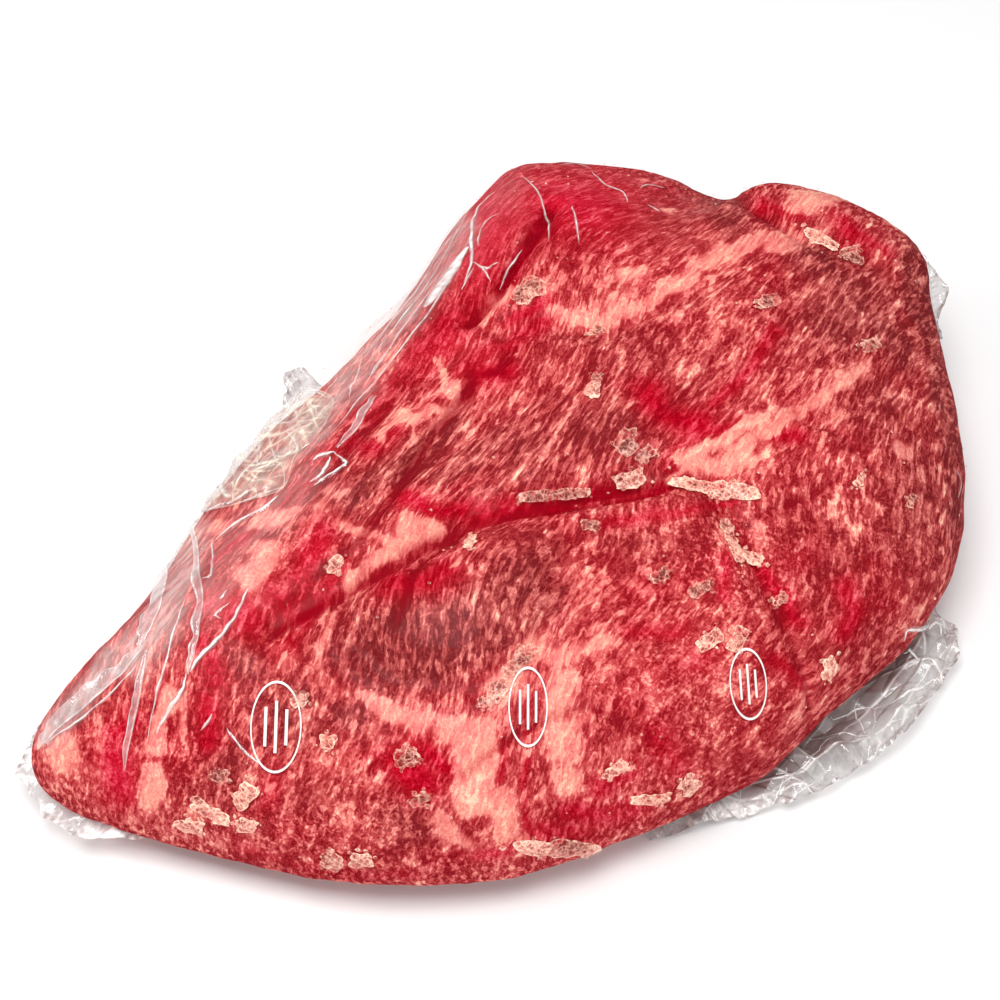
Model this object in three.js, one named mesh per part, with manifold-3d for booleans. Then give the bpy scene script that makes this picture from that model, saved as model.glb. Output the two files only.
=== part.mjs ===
import * as THREE from "three";
import { mergeVertices } from "three/addons/utils/BufferGeometryUtils.js";
import Module from "manifold-3d";

// A wagyu chuck roll in its vacuum film: one boneless beef muscle group, lying flat.
// Millimetres, seen from above with +X to the right, +Y to the back and +Z up. Z is 0 where it rests.

// The widest line round the roll: x, y and its height, anticlockwise from the right.
const RIM = [
  [216, 0, 48], [215, 66, 55], [211, 112, 60], [209, 137, 63], [191, 161, 66], [143, 183, 69],
  [113, 175, 63], [76, 193, 66], [14, 199, 68], [-21, 165, 66], [-56, 99, 56], [-101, 41, 46],
  [-140, -11, 40], [-167, -68, 33], [-195, -113, 27], [-212, -141, 24], [-192, -161, 24],
  [-140, -181, 24], [-70, -198, 26], [2, -196, 26], [80, -163, 26], [120, -138, 27],
  [150, -108, 30], [184, -77, 35], [206, -44, 42],
];
const MIDDLE = [6, -3]; // below the crown of the roll
const CROWN = 110; // height of the crown before the muscles are added

// How the roll curves in from its widest line, and how it sits down on its own weight.
const PLAN_ROUNDNESS = 0.75;
const TOP_ROUNDNESS = 0.95;
const SIDE_ROUNDNESS = 0.7;
const SAG = 1.22; // above 1, so that the underside meets the table in a wide flat

// Muscles that swell the top: x, y, half length, half width, turn in degrees and height.
const MUSCLES = [
  [-6, 109, 58, 40, 62, 9], // rounded shoulder at the back left
  [68, 123, 70, 34, -6, 7], // cap behind the long fat seam
  [160, 150, 34, 22, -22, 9], // small lobe at the back right
  [92, 27, 66, 50, 24, 5], // marbled body
  [172, -27, 34, 56, 8, 6], // right flank
  [-26, -111, 52, 30, 14, 10], // eye
  [114, -99, 22, 34, 30, 7], // front right
  [-64, -17, 40, 26, 48, 4], // folded meat on the left
  [-154, -131, 46, 34, 24, 6], // nose at the front left
  [26, -161, 70, 24, 4, 6], // front belly
  [-108, 16, 34, 14, 48, 4], // gathered film on the left slope
];

// Seams that the film is drawn into: half width, depth and the line that each follows.
const SEAMS = [
  [6, 6, [[21, 129], [9, 101], [-4, 74], [-18, 56]]],
  [6, 6, [[108, 160], [121, 140], [142, 119]]],
  [8, 5, [[-4, 49], [16, 53], [43, 45], [62, 57], [91, 78], [112, 103], [142, 119], [174, 109]]],
  [10, 8, [[-100, -115], [-60, -92], [-39, -78], [-17, -64], [22, -51], [58, -41], [86, -38]]],
  [8, 5, [[86, -38], [113, -17], [142, 1], [178, 27]]],
  [9, 6, [[86, -38], [100, -64], [114, -92], [133, -119], [146, -143]]],
  [7, 4, [[-61, -87], [-73, -107], [-66, -127], [-44, -143], [-16, -145], [12, -127], [26, -73]]],
  [6, 4, [[-84, -39], [-50, 7], [-24, 37]]],
  [6, 4, [[-76, -67], [-35, -29], [-4, -9], [24, 17]]],
  [7, 5, [[36, -199], [78, -165], [108, -155], [124, -133]]],
];

// Divisions of the surface: the upper share of the rings goes to the top, which has the relief.
const SEGMENTS = 104;
const RINGS = 36;
const UPPER_SHARE = 0.75;

// Film folds that stand out of the roll, anticlockwise from above: the buried edge, the free edge,
// the thickness at each, the height and number of the crumples, and the divisions along and across.
const FOLDS = {
  tail: {
    buried: [[78, -134, 10], [112, -108, 11], [150, -72, 12], [176, -30, 14]],
    free: [
      [88, -148, 5], [106, -151, 5], [130, -149, 6], [153, -140, 8], [180, -121, 8],
      [196, -99, 9], [210, -72, 9], [212, -58, 10], [202, -38, 13],
    ],
    thick: [3, 8],
    crumple: 3,
    waves: 5,
    divisions: [44, 6],
  },
  hem: {
    buried: [[-178, -98, 22], [-190, -130, 19], [-176, -146, 18], [-140, -160, 18]],
    free: [
      [-208, -112, 26], [-218, -134, 20], [-214, -148, 16], [-200, -162, 14], [-176, -172, 16],
      [-152, -172, 19],
    ],
    thick: [3, 2],
    crumple: 1.2,
    waves: 3,
    divisions: [24, 3],
  },
  peak: {
    buried: [[-76, 58, 50], [-96, 36, 46]],
    free: [[-90, 61, 55], [-99, 70, 57], [-108, 67, 57], [-110, 52, 53]],
    thick: [3, 2],
    crumple: 1,
    waves: 1,
    divisions: [8, 4],
  },
  corner: {
    buried: [[200, 84, 58], [194, 132, 64]],
    free: [[213, 86, 62], [214, 102, 65], [218, 112, 68], [215, 126, 69], [207, 137, 68]],
    thick: [3, 2],
    crumple: 1.2,
    waves: 2,
    divisions: [16, 3],
  },
};

const line = (points, closed) =>
  new THREE.CatmullRomCurve3(points.map((point) => new THREE.Vector3(...point)), closed, "catmullrom", 0.5);
const rim = line(RIM, true);

function swell(x, y) {
  let height = 0;
  for (const [muscleX, muscleY, halfLength, halfWidth, turn, rise] of MUSCLES) {
    const angle = THREE.MathUtils.degToRad(turn);
    const along = ((x - muscleX) * Math.cos(angle) + (y - muscleY) * Math.sin(angle)) / halfLength;
    const across = ((y - muscleY) * Math.cos(angle) - (x - muscleX) * Math.sin(angle)) / halfWidth;
    height += rise * Math.exp(-along * along - across * across);
  }
  return height;
}

function distanceToLine(x, y, points) {
  let nearest = Infinity;
  for (let i = 1; i < points.length; i += 1) {
    const [startX, startY] = points[i - 1];
    const runX = points[i][0] - startX;
    const runY = points[i][1] - startY;
    const share = ((x - startX) * runX + (y - startY) * runY) / (runX * runX + runY * runY);
    const held = THREE.MathUtils.clamp(share, 0, 1);
    nearest = Math.min(nearest, Math.hypot(x - startX - held * runX, y - startY - held * runY));
  }
  return nearest;
}

function seamDepth(x, y) {
  let depth = 0;
  for (const [halfWidth, deep, points] of SEAMS) {
    const away = distanceToLine(x, y, points) / halfWidth;
    depth = Math.max(depth, deep * Math.exp(-away * away));
  }
  return depth;
}

// A point of the roll's skin: turn runs from 0 to 1 round the rim, and latitude from the
// middle of the underside to the crown.
function skin(turn, latitude) {
  const edge = rim.getPoint(turn);
  const reach = Math.cos(latitude) ** PLAN_ROUNDNESS;
  const x = MIDDLE[0] + (edge.x - MIDDLE[0]) * reach;
  const y = MIDDLE[1] + (edge.y - MIDDLE[1]) * reach;
  const steep = Math.abs(Math.sin(latitude));
  if (latitude < 0) {
    return [x, y, Math.max(0, edge.z * (1 - SAG * steep ** SIDE_ROUNDNESS))];
  }
  const share = steep ** TOP_ROUNDNESS;
  return [x, y, edge.z + share * (CROWN - edge.z + swell(x, y) - seamDepth(x, y))];
}

function rollGeometry() {
  const geometry = new THREE.SphereGeometry(1, SEGMENTS, RINGS);
  geometry.rotateX(Math.PI / 2);
  const position = geometry.attributes.position;
  for (let i = 0; i < position.count; i += 1) {
    const around = Math.atan2(position.getY(i), position.getX(i)) / (2 * Math.PI);
    const down = Math.acos(THREE.MathUtils.clamp(position.getZ(i), -1, 1)) / Math.PI;
    const latitude =
      down < UPPER_SHARE ? 1 - down / UPPER_SHARE : (UPPER_SHARE - down) / (1 - UPPER_SHARE);
    position.setXYZ(i, ...skin((around + 1) % 1, (latitude * Math.PI) / 2));
  }
  return merged(geometry);
}

// A crumpled sheet between two lines that run anticlockwise, with both of its faces split alike.
function foldGeometry({ buried, free, thick, crumple, waves, divisions }) {
  const [columns, rows] = divisions;
  const inner = line(buried, false);
  const outer = line(free, false);
  const vertices = [];
  for (const side of [1, -1]) {
    for (let row = 0; row <= rows; row += 1) {
      for (let column = 0; column <= columns; column += 1) {
        const along = column / columns;
        const inwards = row / rows;
        const point = outer.getPoint(along).lerp(inner.getPoint(along), inwards);
        const loose = crumple * (1 - inwards);
        const phase = 2 * Math.PI * waves * along;
        point.z += loose * Math.sin(phase + 2.6 * inwards);
        point.z += 0.7 * loose * Math.sin(1.71 * phase - 3 * inwards + 1.3);
        point.z += 0.5 * loose * Math.sin(2.63 * phase + 4);
        const half = THREE.MathUtils.lerp(thick[1], thick[0], inwards) / 2;
        vertices.push(point.x, point.y, Math.max(point.z, half) + side * half);
      }
    }
  }
  const upper = (column, row) => row * (columns + 1) + column;
  const under = (column, row) => (columns + 1) * (rows + 1) + upper(column, row);
  const faces = [];
  const quad = (a, b, c, d) => faces.push(a, b, c, a, c, d);
  for (let c = 0; c < columns; c += 1) {
    for (let r = 0; r < rows; r += 1) {
      quad(upper(c, r), upper(c + 1, r), upper(c + 1, r + 1), upper(c, r + 1));
      quad(under(c, r), under(c, r + 1), under(c + 1, r + 1), under(c + 1, r));
    }
    quad(under(c, 0), under(c + 1, 0), upper(c + 1, 0), upper(c, 0));
    quad(under(c + 1, rows), under(c, rows), upper(c, rows), upper(c + 1, rows));
  }
  for (let r = 0; r < rows; r += 1) {
    quad(under(0, r + 1), under(0, r), upper(0, r), upper(0, r + 1));
    quad(under(columns, r), under(columns, r + 1), upper(columns, r + 1), upper(columns, r));
  }
  const geometry = new THREE.BufferGeometry();
  geometry.setAttribute("position", new THREE.Float32BufferAttribute(vertices, 3));
  geometry.setIndex(faces);
  return geometry;
}

function merged(geometry) {
  geometry.deleteAttribute("normal");
  geometry.deleteAttribute("uv");
  return mergeVertices(geometry);
}

const wasm = await Module();
wasm.setup();

function solid(geometry) {
  return new wasm.Manifold(
    new wasm.Mesh({
      numProp: 3,
      vertProperties: new Float32Array(geometry.attributes.position.array),
      triVerts: new Uint32Array(geometry.index.array),
    }),
  );
}

function packedRoll() {
  let whole = solid(rollGeometry());
  for (const fold of Object.values(FOLDS)) {
    whole = whole.add(solid(foldGeometry(fold)));
  }
  const { vertProperties, triVerts } = whole.getMesh();
  const geometry = new THREE.BufferGeometry();
  geometry.setAttribute("position", new THREE.BufferAttribute(vertProperties, 3));
  geometry.setIndex(new THREE.BufferAttribute(triVerts, 1));
  const film = new THREE.MeshStandardMaterial({ color: 0xb8484a, roughness: 0.18, metalness: 0 });
  const mesh = new THREE.Mesh(geometry, film);
  mesh.name = "packed_chuck_roll";
  return mesh;
}

const group = new THREE.Group();
group.add(packedRoll());

export default group;
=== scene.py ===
# A wagyu chuck roll in clear vacuum film, lying on a white ground.
from math import atan2, cos, pi, radians, sin

import bmesh
import bpy
import numpy as np
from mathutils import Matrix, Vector, noise
from mathutils.bvhtree import BVHTree


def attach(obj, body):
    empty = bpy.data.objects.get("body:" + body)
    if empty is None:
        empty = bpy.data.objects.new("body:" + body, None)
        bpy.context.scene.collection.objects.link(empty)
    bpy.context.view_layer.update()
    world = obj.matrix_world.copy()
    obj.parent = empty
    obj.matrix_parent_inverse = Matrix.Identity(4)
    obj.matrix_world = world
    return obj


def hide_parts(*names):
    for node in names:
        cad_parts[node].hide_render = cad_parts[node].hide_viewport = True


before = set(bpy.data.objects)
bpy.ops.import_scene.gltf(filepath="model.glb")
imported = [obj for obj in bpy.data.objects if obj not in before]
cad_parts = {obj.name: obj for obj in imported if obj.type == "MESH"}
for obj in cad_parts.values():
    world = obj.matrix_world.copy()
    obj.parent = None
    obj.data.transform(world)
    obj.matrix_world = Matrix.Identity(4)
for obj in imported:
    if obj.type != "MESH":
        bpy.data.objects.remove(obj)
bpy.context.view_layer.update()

NODE = "packed_chuck_roll"
BODY = "root"
MM = 0.001

# The camera of the photograph: from the front, 50 degrees above the ground, with a long lens.
CAMERA_ELEVATION = radians(50)
CAMERA_DISTANCE = 1.18
CAMERA_LENS = 90
CAMERA_SENSOR = 36
CAMERA_AIM = Vector((-0.004, -0.003, 0.045))
PHOTO_SIDE = 1000  # pixels of the photograph, to which the pixel places below belong
towards_camera = Vector((0, -cos(CAMERA_ELEVATION), sin(CAMERA_ELEVATION)))
camera_up = Vector((0, sin(CAMERA_ELEVATION), cos(CAMERA_ELEVATION)))
camera_place = CAMERA_AIM + CAMERA_DISTANCE * towards_camera
camera = bpy.data.objects.new("camera", bpy.data.cameras.new("camera"))
camera.location = camera_place
camera.rotation_euler = towards_camera.to_track_quat("Z", "Y").to_euler()
camera.data.lens = CAMERA_LENS
camera.data.sensor_width = CAMERA_SENSOR
bpy.context.scene.collection.objects.link(camera)
bpy.context.scene.camera = camera

# The form of the roll, in millimetres: the soft boneless meat lies on its wide flat underside,
# and the vacuum draws the film tight over its muscles and into the seams between them.
RIM = [
    (216, 0, 48), (215, 66, 55), (211, 112, 60), (209, 137, 63), (191, 161, 66), (143, 183, 69),
    (113, 175, 63), (76, 193, 66), (14, 199, 68), (-21, 165, 66), (-56, 99, 56), (-101, 41, 46),
    (-140, -11, 40), (-167, -68, 33), (-195, -113, 27), (-212, -141, 24), (-192, -161, 24),
    (-140, -181, 24), (-70, -198, 26), (2, -196, 26), (80, -163, 26), (120, -138, 27),
    (150, -108, 30), (184, -77, 35), (206, -44, 42),
]
MIDDLE = (6, -3)
CROWN = 110  # height of the middle, before the muscles swell it
PLAN_ROUNDNESS = 0.75  # the lower these three are, the fuller the form
TOP_ROUNDNESS = 0.95
SIDE_ROUNDNESS = 0.7
SAG = 1.22  # above 1, so that the underside lies flat
UPPER_SHARE = 0.75  # share of the rings that lie above the rim
MUSCLES = [  # x, y, half length, half width, turn in degrees, height
    (-6, 109, 58, 40, 62, 9), (68, 123, 70, 34, -6, 7), (160, 150, 34, 22, -22, 9),
    (92, 27, 66, 50, 24, 5), (172, -27, 34, 56, 8, 6), (-26, -111, 52, 30, 14, 10),
    (114, -99, 22, 34, 30, 7), (-64, -17, 40, 26, 48, 4), (-154, -131, 46, 34, 24, 6),
    (26, -161, 70, 24, 4, 6), (-108, 16, 34, 14, 48, 4),
]
SHOULDER_FOLD = [(21, 129), (9, 101), (-4, 74), (-18, 56)]
LOBE_SEAM = [(108, 160), (121, 140), (142, 119)]
CAP_SEAM = [(-4, 49), (16, 53), (43, 45), (62, 57), (91, 78), (112, 103), (142, 119), (174, 109)]
VALLEY = [(-100, -115), (-60, -92), (-39, -78), (-17, -64), (22, -51), (58, -41), (86, -38)]
RIGHT_SEAM = [(86, -38), (113, -17), (142, 1), (178, 27)]
FRONT_SEAM = [(86, -38), (100, -64), (114, -92), (133, -119), (146, -143)]
EYE_EDGE = [(-61, -87), (-73, -107), (-66, -127), (-44, -143), (-16, -145), (12, -127), (26, -73)]
SEAMS = [  # half width, depth, line
    (6, 6, SHOULDER_FOLD), (6, 6, LOBE_SEAM), (8, 5, CAP_SEAM), (10, 8, VALLEY), (8, 5, RIGHT_SEAM),
    (9, 6, FRONT_SEAM), (7, 4, EYE_EDGE), (6, 4, [(-84, -39), (-50, 7), (-24, 37)]),
    (6, 4, [(-76, -67), (-35, -29), (-4, -9), (24, 17)]),
    (7, 5, [(36, -199), (78, -165), (108, -155), (124, -133)]),
]
FORM_SEGMENTS = 420
FORM_RINGS = 180
FORM_VOXEL = 0.0022


def on_curve(points, share, closed):
    """Points of the smooth curve through the given ones, at shares of its length of 0 to 1."""
    points = np.array(points, float)
    count = len(points)
    spans = count if closed else count - 1
    place = np.clip(np.asarray(share, float), 0, 1) * spans
    start = np.minimum(place.astype(int), spans - 1)
    part = (place - start)[..., None]
    near = [start + step for step in (-1, 0, 1, 2)]
    if closed:
        before, here, there, after = (points[i % count] for i in near)
    else:
        ends = np.vstack([2 * points[0] - points[1], points, 2 * points[-1] - points[-2]])
        before, here, there, after = (ends[np.clip(i + 1, 0, count + 1)] for i in near)
    bend = 2 * before - 5 * here + 4 * there - after
    return here + 0.5 * part * (there - before + part * (bend + part * (3 * (here - there) + after - before)))


def spot(x, y, place):
    """A soft oval spot: 1 at its middle and fading out at its half length and half width."""
    middle_x, middle_y, half_length, half_width, turn = place
    angle = radians(turn)
    along = ((x - middle_x) * cos(angle) + (y - middle_y) * sin(angle)) / half_length
    across = ((y - middle_y) * cos(angle) - (x - middle_x) * sin(angle)) / half_width
    return np.exp(-along * along - across * across)


def away_from(x, y, line):
    """Distance in plan to a line of straight stretches."""
    nearest = np.full(np.shape(x), np.inf)
    for (start_x, start_y), (end_x, end_y) in zip(line, line[1:]):
        run_x = end_x - start_x
        run_y = end_y - start_y
        share = ((x - start_x) * run_x + (y - start_y) * run_y) / (run_x**2 + run_y**2)
        share = np.clip(share, 0, 1)
        nearest = np.minimum(nearest, np.hypot(x - start_x - share * run_x, y - start_y - share * run_y))
    return nearest


def seam(x, y, half_width, line):
    return np.exp(-((away_from(x, y, line) / half_width) ** 2))


def roll_form(sphere):
    """Carries the points of a unit sphere onto the skin of the roll, in millimetres."""
    around = np.arctan2(sphere[:, 1], sphere[:, 0]) / (2 * pi) % 1
    down = np.arccos(np.clip(sphere[:, 2], -1, 1)) / pi
    upper = down < UPPER_SHARE
    latitude = np.where(upper, 1 - down / UPPER_SHARE, (UPPER_SHARE - down) / (1 - UPPER_SHARE)) * pi / 2
    edge = on_curve(RIM, around, closed=True)
    reach = np.cos(latitude) ** PLAN_ROUNDNESS
    x = MIDDLE[0] + (edge[:, 0] - MIDDLE[0]) * reach
    y = MIDDLE[1] + (edge[:, 1] - MIDDLE[1]) * reach
    swell = sum(height * spot(x, y, place) for *place, height in MUSCLES)
    drawn_in = np.max([depth * seam(x, y, half_width, line) for half_width, depth, line in SEAMS], axis=0)
    steep = np.abs(np.sin(latitude))
    top = edge[:, 2] + steep**TOP_ROUNDNESS * (CROWN - edge[:, 2] + swell - drawn_in)
    side = np.maximum(0, edge[:, 2] * (1 - SAG * steep**SIDE_ROUNDNESS))
    return np.stack([x, y, np.where(upper, top, side)], 1)


def rows_of(items, name):
    """A vector of each item of a mesh, as rows of x, y and z."""
    rows = np.empty(len(items) * 3)
    items.foreach_get(name, rows)
    return rows.reshape(-1, 3)


def places(mesh):
    return rows_of(mesh.vertices, "co")


def move_points(mesh, rows):
    mesh.vertices.foreach_set("co", np.ascontiguousarray(rows, float).ravel())
    mesh.update()


def new_piece(name, mesh):
    """Adds a finished mesh to the scene as a piece of the pack."""
    mesh.name = name
    piece = bpy.data.objects.new(name, mesh)
    bpy.context.scene.collection.objects.link(piece)
    mesh.shade_smooth()
    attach(piece, BODY)
    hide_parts(NODE)
    return piece


def mesh_from(bm):
    mesh = bpy.data.meshes.new("shape")
    bm.to_mesh(mesh)
    bm.free()
    return mesh


def remeshed(mesh, voxel):
    """The mesh with its faces made even, at the given size."""
    block = bpy.data.objects.new("block", mesh)
    bpy.context.scene.collection.objects.link(block)
    even = block.modifiers.new("even", "REMESH")
    even.mode = "VOXEL"
    even.voxel_size = voxel
    graph = bpy.context.evaluated_depsgraph_get()
    result = bpy.data.meshes.new_from_object(block.evaluated_get(graph))
    bpy.data.objects.remove(block)
    return result


form = bmesh.new()
bmesh.ops.create_uvsphere(form, u_segments=FORM_SEGMENTS, v_segments=FORM_RINGS, radius=1)
form = mesh_from(form)
move_points(form, roll_form(places(form)) * MM)
form = remeshed(form, FORM_VOXEL)
form_places = places(form) / MM
form_outward = rows_of(form.vertex_normals, "vector")

# The beef itself: lean muscles of several grains, shot through with fine fat, with thick fat
# along the seams, soft lumps where the cuts were made, and painted shade that darkens its creases.
BEEF_BELOW_FILM = 0.8
LUMPS = [(34, 1.3), (15, 0.7)]  # size and height of the soft lumps, in millimetres
FIBRE_HEIGHT = 0.5
FIBRE_SIZE = 1.5  # streaks of the grain
FINISHED_FROM = (18, 30)  # height from which the top's finishes fade in, and over how much
FULL_CREASE_SHADE = 2.5  # depth at which a crease has its full painted shade
LEAST_BEEF_HEIGHT = 0.4


def noise_over(rows, size, seed):
    """Smooth noise of about -1 to 1 at each place, with lumps of the given size."""
    shift = Vector((seed * 17.3, seed * -9.1, seed * 5.7))
    return np.array([noise.noise(Vector(row) / size + shift) for row in rows])


def add_value(mesh, name, values):
    attribute = mesh.attributes.new(name, "FLOAT", "POINT")
    attribute.data.foreach_set("value", np.ascontiguousarray(values, np.float32))


def add_vector(mesh, name, rows):
    attribute = mesh.attributes.new(name, "FLOAT_VECTOR", "POINT")
    attribute.data.foreach_set("vector", np.ascontiguousarray(rows, np.float32).ravel())


x, y, z = form_places.T
upside = np.clip((z - FINISHED_FROM[0]) / FINISHED_FROM[1], 0, 1)
lumps = sum(height * noise_over(form_places, size, seed=1) for size, height in LUMPS)
CREASES = [  # half width, depth, line: narrow folds that only the meat follows
    (2.2, 3.0, SHOULDER_FOLD), (2.2, 1.6, LOBE_SEAM), (3.0, 2.5, VALLEY), (2.5, 2.0, FRONT_SEAM),
    (2.2, 1.5, EYE_EDGE),
    (3.0, 3.0, [(-82, -92), (-64, -75), (-52, -52), (-40, -30), (-24, -2), (-16, 14)]),
    (2.6, 2.5, [(-48, -120), (-39, -88), (-24, -68)]), (3.4, 2.2, [(3, 36), (-4, 21), (-18, 19)]),
    (2.6, 2.0, [(-45, -80), (-21, -65), (1, -59), (22, -56), (45, -50), (70, -42)]),
    (3.0, 2.0, [(59, -17), (78, 3), (97, 31), (110, 46)]),
    (2.6, 2.0, [(-90, -50), (-70, -20), (-52, 8), (-44, 26)]),
    (2.4, 2.0, [(104, -60), (128, -48), (146, -36)]), (2.4, 1.8, [(126, 4), (150, -10), (168, -30)]),
    (2.4, 1.8, [(-20, -178), (10, -160), (34, -150), (60, -156)]),
]
creases = np.max([depth * seam(x, y, width, line) for width, depth, line in CREASES], axis=0)

# The finishes of the beef, drawn in pixels of the photograph: strokes along lines, and soft pads.
FAT_STROKES = [  # half width, strength, then x and y of each point of its line
    (34, 0.6, 572, 296, 604, 306, 650, 296), (15, 0.85, 560, 312, 604, 318, 650, 303),
    (16, 0.85, 656, 298, 690, 272, 716, 254, 760, 240, 796, 241), (12, 0.8, 600, 286, 622, 276, 640, 270),
    (10, 0.75, 668, 263, 704, 256), (8, 0.75, 712, 274, 716, 338), (7, 0.6, 742, 285, 738, 330),
    (8, 0.65, 640, 330, 648, 380), (8, 1.0, 668, 476, 690, 470), (18, 1.0, 698, 468, 744, 458),
    (12, 1.0, 680, 464, 720, 440, 765, 420), (12, 0.9, 740, 452, 790, 415, 840, 385, 866, 362),
    (9, 0.8, 738, 512, 762, 528), (13, 0.95, 483, 318, 492, 302, 510, 287),
    (6, 1.0, 438, 360, 446, 380, 452, 395), (8, 1.0, 457, 384, 460, 400, 445, 412),
    (7, 1.0, 445, 412, 430, 405, 415, 418, 398, 412, 388, 425, 385, 440), (5, 0.9, 415, 418, 418, 440),
    (5, 0.9, 440, 412, 438, 440, 425, 445), (19, 1.0, 404, 522, 432, 530),
    (11, 0.85, 345, 522, 370, 532, 400, 545), (10, 0.95, 350, 586, 372, 562, 398, 545, 440, 532),
    (7, 0.8, 320, 680, 325, 640, 345, 592), (21, 1.15, 268, 548, 250, 576),
    (11, 1.1, 172, 690, 160, 722, 152, 752), (12, 0.75, 180, 696, 184, 744), (21, 1.15, 150, 784, 148, 822),
    (12, 0.75, 212, 526, 262, 514, 318, 504, 345, 490), (8, 0.85, 90, 802, 130, 820, 180, 836, 230, 850),
    (27, 1.2, 476, 734, 474, 800), (22, 1.1, 502, 800, 506, 832), (16, 0.95, 446, 824, 470, 848),
    (32, 0.82, 566, 684, 566, 780), (16, 1.0, 556, 700, 560, 740), (20, 0.8, 556, 656, 612, 640),
    (24, 0.95, 498, 690, 540, 648), (20, 0.9, 370, 700, 412, 722, 462, 730),
    (7, 0.8, 356, 788, 350, 820, 344, 850), (4, 0.7, 336, 788, 350, 800), (11, 0.6, 800, 702, 850, 680),
    (5, 0.8, 424, 600, 426, 622), (4, 0.7, 560, 560, 572, 530), (4, 0.8, 452, 566, 466, 548),
    (4, 0.7, 590, 545, 600, 522), (4, 0.8, 620, 420, 636, 396), (4, 0.8, 552, 432, 572, 410),
    (7, 0.7, 622, 772, 646, 762), (6, 0.6, 556, 622, 580, 596), (5, 0.7, 812, 300, 822, 272),
    (5, 0.6, 770, 480, 776, 450), (6, 0.6, 856, 470, 860, 436), (6, 0.6, 790, 556, 806, 538),
]
FAT_PADS = [  # x, y, half length, half width, turn in degrees, strength
    (62, 762, 40, 34, -50, 1.0), (905, 450, 15, 15, 0, 1.0), (840, 372, 17, 9, 0, 0.8),
    (735, 638, 18, 11, 0, 0.75), (670, 690, 40, 30, 0, 0.42), (630, 584, 70, 40, 20, 0.46),
    (400, 700, 60, 26, 0, 0.4), (330, 690, 30, 12, 60, 0.5), (812, 196, 40, 10, -8, 1.1),
    (804, 204, 44, 16, -10, 0.85), (880, 262, 12, 26, 15, 0.65), (670, 208, 18, 6, -5, 0.85),
    (332, 750, 15, 9, 0, 0.75), (816, 696, 13, 28, -30, 0.65), (326, 485, 13, 13, 0, 0.85),
    (858, 376, 14, 10, 0, 0.8), (440, 430, 50, 80, 0, 0.32), (290, 650, 64, 36, 0, 0.62),
    (640, 690, 96, 100, 0, 0.54), (912, 500, 40, 90, 0, 0.42), (384, 366, 90, 16, 56, 0.7),
    (905, 588, 32, 44, 0, 0.6), (666, 356, 22, 10, 10, 0.6), (925, 560, 26, 80, 0, 0.45),
    (820, 400, 60, 50, 0, 0.35), (680, 330, 70, 40, 10, 0.34), (250, 830, 60, 14, -10, 0.5),
    (700, 790, 50, 14, 20, 0.5), (520, 730, 60, 90, 0, 0.55), (300, 800, 70, 40, 0, 0.4),
    (618, 310, 18, 12, 10, 1.0),
]
CRINKLED_PADS = [  # meat whose fat lies in crumbs rather than in streaks
    (740, 560, 90, 64, 0, 1.0), (690, 700, 100, 90, 0, 0.9), (320, 830, 120, 50, 10, 0.9),
    (890, 560, 50, 80, 0, 0.6), (290, 560, 60, 40, 0, 0.5), (690, 340, 60, 40, 0, 0.4),
    (160, 760, 80, 60, 0, 0.6),
]
FRESH_STROKES = [
    (9, 1.0, 548, 210, 535, 235, 518, 258, 503, 284), (9, 1.0, 512, 318, 530, 312, 546, 304),
    (15, 1.0, 480, 372, 506, 368), (10, 0.8, 500, 350, 520, 336, 546, 324),
    (12, 0.7, 455, 382, 470, 360, 490, 345), (8, 0.8, 776, 330, 756, 355, 736, 385, 712, 402),
    (18, 1.0, 645, 390, 665, 410, 700, 425), (9, 0.9, 700, 428, 744, 428, 800, 434),
    (8, 0.7, 700, 430, 680, 455, 667, 470), (11, 1.0, 405, 498, 440, 512, 480, 513, 525, 506),
    (8, 0.9, 525, 508, 590, 495, 640, 490, 666, 482), (7, 0.7, 600, 522, 680, 510, 735, 500),
    (9, 1.0, 762, 572, 785, 595, 800, 622), (13, 0.9, 845, 588, 857, 610, 843, 632),
    (8, 0.8, 725, 558, 727, 592), (10, 0.8, 774, 660, 800, 682), (15, 0.9, 570, 815, 600, 820, 642, 815),
    (13, 0.8, 540, 832, 600, 842), (12, 0.8, 600, 792, 632, 770), (18, 0.6, 660, 740, 682, 770),
    (21, 1.0, 405, 760, 420, 786), (11, 0.9, 430, 750, 450, 770), (23, 1.0, 112, 760, 120, 796),
    (14, 0.9, 115, 735, 130, 720), (21, 1.0, 215, 600, 245, 615), (18, 0.9, 268, 590, 286, 612),
    (14, 0.9, 205, 640, 215, 680), (11, 0.9, 205, 700, 210, 742), (10, 0.9, 213, 562, 232, 545, 250, 530),
    (14, 0.9, 326, 530, 310, 555, 298, 582), (11, 0.9, 288, 642, 310, 602, 342, 570),
    (18, 0.9, 390, 582, 430, 580, 446, 570), (10, 0.9, 280, 500, 300, 486, 312, 480),
    (16, 0.8, 362, 408, 385, 380, 405, 355, 432, 338), (9, 0.7, 345, 442, 375, 446, 400, 430),
    (9, 0.7, 630, 630, 682, 630), (8, 0.8, 835, 215, 860, 235, 886, 252), (10, 0.7, 770, 205, 802, 212),
    (4, 1.0, 504, 740, 498, 782), (3, 1.0, 527, 700, 528, 760, 526, 832),
    (6, 0.9, 240, 850, 330, 876, 420, 880), (6, 0.8, 560, 858, 640, 842, 700, 822),
]
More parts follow.
